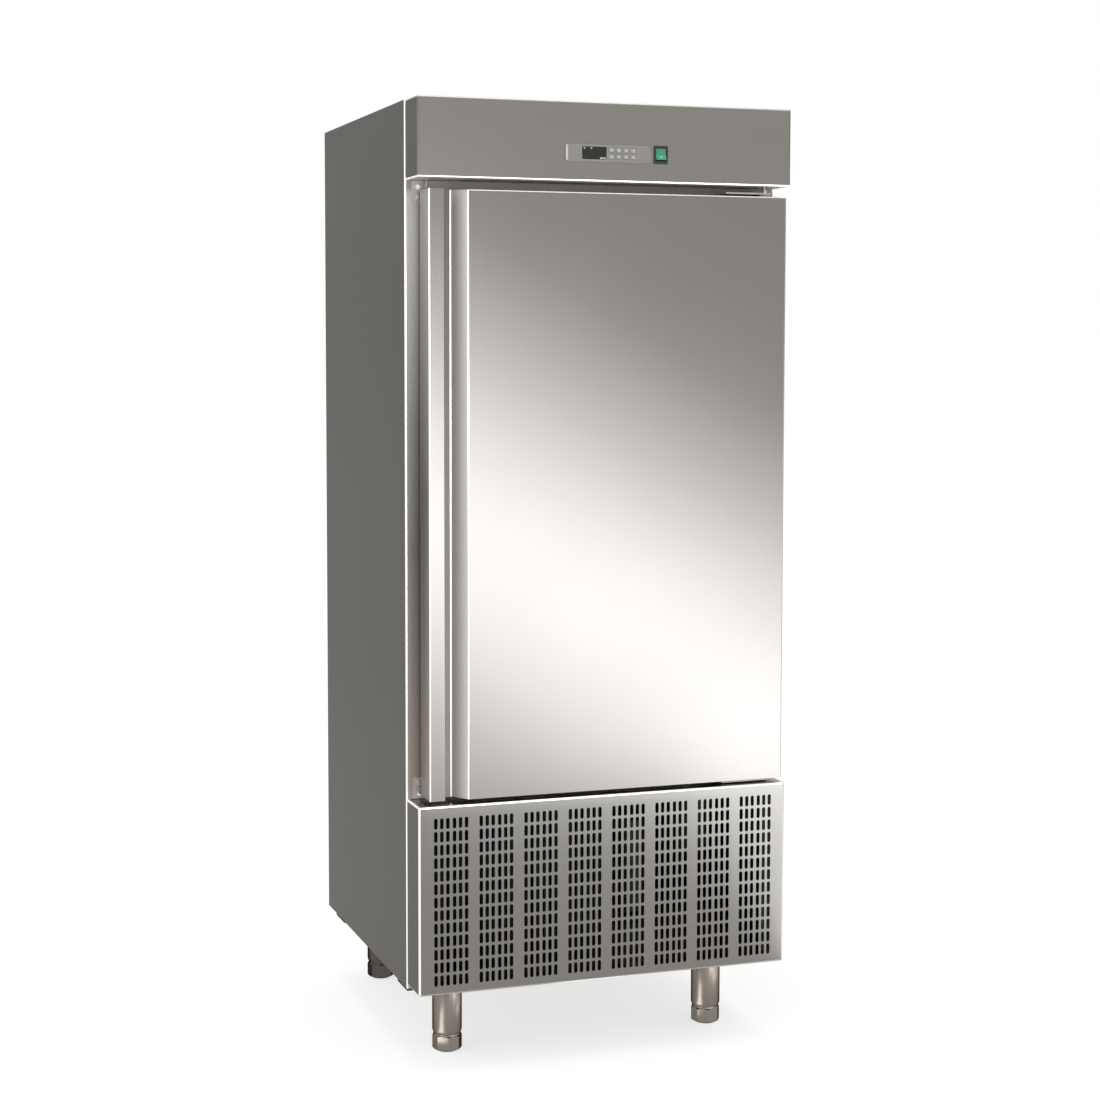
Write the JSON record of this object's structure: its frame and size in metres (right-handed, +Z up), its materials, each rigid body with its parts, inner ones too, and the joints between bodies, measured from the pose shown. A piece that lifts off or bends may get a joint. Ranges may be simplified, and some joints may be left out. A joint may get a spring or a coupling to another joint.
{
  "type": "blast chiller",
  "caption": "Tall free-standing stainless-steel blast chiller with one hinged door, a recessed full-height handle, a control fascia, a perforated lower grille and screw feet.",
  "frame": {"origin": "on the floor, under the middle of the whole object", "axes": "+Z up, +X to the right seen from the front (hinge side), +Y to the back; the door faces -Y"},
  "size_m": [0.8, 0.7586, 1.94],
  "materials": {
    "panel_steel": "satin",
    "front_steel": "satin",
    "back_sheet": "satin",
    "galvanised_sheet": "satin",
    "frame_steel": "satin",
    "foam": "matte",
    "liner_steel": "satin",
    "leg_steel": "satin",
    "foot_steel": "satin",
    "control_silver": "satin",
    "display_black": "gloss",
    "housing_black": "matte",
    "key_white": "satin",
    "switch_black": "satin",
    "rocker_green": "gloss",
    "box_grey": "satin",
    "door_steel": "satin",
    "gasket_grey": "matte",
    "bush_nylon": "satin",
    "bracket_steel": "satin",
    "pin_steel": "polished",
    "screw_steel": "polished",
    "grille_steel": "satin",
    "rack_steel": "satin",
    "guard_chrome": "polished",
    "motor_black": "satin",
    "fan_black": "matte",
    "coil_aluminium": "satin",
    "condenser_dark": "matte",
    "cowl_black": "satin",
    "compressor_black": "satin",
    "mount_rubber": "matte",
    "copper": "satin",
    "gland_black": "matte"
  },
  "bodies": {
    "cabinet": {"left_side_panel": "panel_steel", "right_side_panel": "panel_steel", "top_panel": "back_sheet", "back_panel": "back_sheet", "vent_panel": "back_sheet", "base_panel": "galvanised_sheet", "lower_deck": "galvanised_sheet", "upper_deck": "galvanised_sheet", "front_frame": "frame_steel", "cabinet_insulation": "foam", "chamber_liner": "liner_steel", "leg_rails": "galvanised_sheet", "leg_tubes": "leg_steel", "fascia": "front_steel", "controller_plate": "control_silver", "controller_display": "display_black", "controller_body": "housing_black", "switch_body": "switch_black", "control_box": "box_grey", "hinge_bracket_top": "bracket_steel", "hinge_bracket_bottom": "bracket_steel", "hinge_pins": "pin_steel", "stop_plates": "bracket_steel", "bracket_screws": "screw_steel", "grille_panel": "grille_steel", "rack_uprights": "rack_steel", "tray_runners": "rack_steel", "fan_shroud": "liner_steel", "fan_guards": "guard_chrome", "evaporator_motors": "motor_black", "evaporator_coil": "coil_aluminium", "drip_tray": "liner_steel", "condenser_coil": "condenser_dark", "condenser_shroud": "cowl_black", "condenser_motor": "motor_black", "compressor": "compressor_black", "compressor_mounts": "mount_rubber", "refrigerant_pipes": "copper", "cable_gland": "gland_black"},
    "door": {"door_skin": "door_steel", "door_insulation": "foam", "door_liner": "liner_steel", "door_gasket": "gasket_grey", "hinge_bushes": "bush_nylon"},
    "rocker": {"power_rocker": "rocker_green"},
    "key_1": {"key_1": "key_white"},
    "key_2": {"key_2": "key_white"},
    "key_3": {"key_3": "key_white"},
    "key_4": {"key_4": "key_white"},
    "key_5": {"key_5": "key_white"},
    "key_6": {"key_6": "key_white"},
    "key_7": {"key_7": "key_white"},
    "key_8": {"key_8": "key_white"},
    "foot_front_left": {"foot_front_left": "foot_steel"},
    "foot_front_right": {"foot_front_right": "foot_steel"},
    "foot_rear_left": {"foot_rear_left": "foot_steel"},
    "foot_rear_right": {"foot_rear_right": "foot_steel"},
    "evaporator_fan_upper": {"evaporator_fan_upper": "fan_black"},
    "evaporator_fan_lower": {"evaporator_fan_lower": "fan_black"},
    "condenser_fan": {"condenser_fan": "fan_black"}
  },
  "joints": [
    {"name": "door_hinge", "type": "hinge", "parent": "cabinet", "child": "door", "pos_m": [0.355, -0.3392, 1.16], "axis": [0, 0, 1], "range_deg": [0, 120]},
    {"name": "power_switch", "type": "hinge", "parent": "cabinet", "child": "rocker", "pos_m": [0.11, -0.37019, 1.839], "axis": [1, 0, 0], "range_deg": [0, 22]},
    {"name": "key_1_press", "type": "slide", "parent": "cabinet", "child": "key_1", "axis": [0, 1, 0], "range_m": [0, 0.0006], "stiffness_N_per_m": 400},
    {"name": "key_2_press", "type": "slide", "parent": "cabinet", "child": "key_2", "axis": [0, 1, 0], "range_m": [0, 0.0006], "stiffness_N_per_m": 400},
    {"name": "key_3_press", "type": "slide", "parent": "cabinet", "child": "key_3", "axis": [0, 1, 0], "range_m": [0, 0.0006], "stiffness_N_per_m": 400},
    {"name": "key_4_press", "type": "slide", "parent": "cabinet", "child": "key_4", "axis": [0, 1, 0], "range_m": [0, 0.0006], "stiffness_N_per_m": 400},
    {"name": "key_5_press", "type": "slide", "parent": "cabinet", "child": "key_5", "axis": [0, 1, 0], "range_m": [0, 0.0006], "stiffness_N_per_m": 400},
    {"name": "key_6_press", "type": "slide", "parent": "cabinet", "child": "key_6", "axis": [0, 1, 0], "range_m": [0, 0.0006], "stiffness_N_per_m": 400},
    {"name": "key_7_press", "type": "slide", "parent": "cabinet", "child": "key_7", "axis": [0, 1, 0], "range_m": [0, 0.0006], "stiffness_N_per_m": 400},
    {"name": "key_8_press", "type": "slide", "parent": "cabinet", "child": "key_8", "axis": [0, 1, 0], "range_m": [0, 0.0006], "stiffness_N_per_m": 400},
    {"name": "foot_front_left_screw", "type": "slide", "parent": "cabinet", "child": "foot_front_left", "axis": [0, 0, -1], "range_m": [0, 0.04]},
    {"name": "foot_front_right_screw", "type": "slide", "parent": "cabinet", "child": "foot_front_right", "axis": [0, 0, -1], "range_m": [0, 0.04]},
    {"name": "foot_rear_left_screw", "type": "slide", "parent": "cabinet", "child": "foot_rear_left", "axis": [0, 0, -1], "range_m": [0, 0.04]},
    {"name": "foot_rear_right_screw", "type": "slide", "parent": "cabinet", "child": "foot_rear_right", "axis": [0, 0, -1], "range_m": [0, 0.04]},
    {"name": "evaporator_fan_upper_spin", "type": "hinge", "parent": "cabinet", "child": "evaporator_fan_upper", "pos_m": [0, 0.1473, 1.40725], "axis": [0, 1, 0], "continuous": true},
    {"name": "evaporator_fan_lower_spin", "type": "hinge", "parent": "cabinet", "child": "evaporator_fan_lower", "pos_m": [0, 0.1473, 0.92375], "axis": [0, 1, 0], "continuous": true},
    {"name": "condenser_fan_spin", "type": "hinge", "parent": "cabinet", "child": "condenser_fan", "pos_m": [-0.15, -0.1579, 0.3546], "axis": [0, 1, 0], "continuous": true}
  ]
}
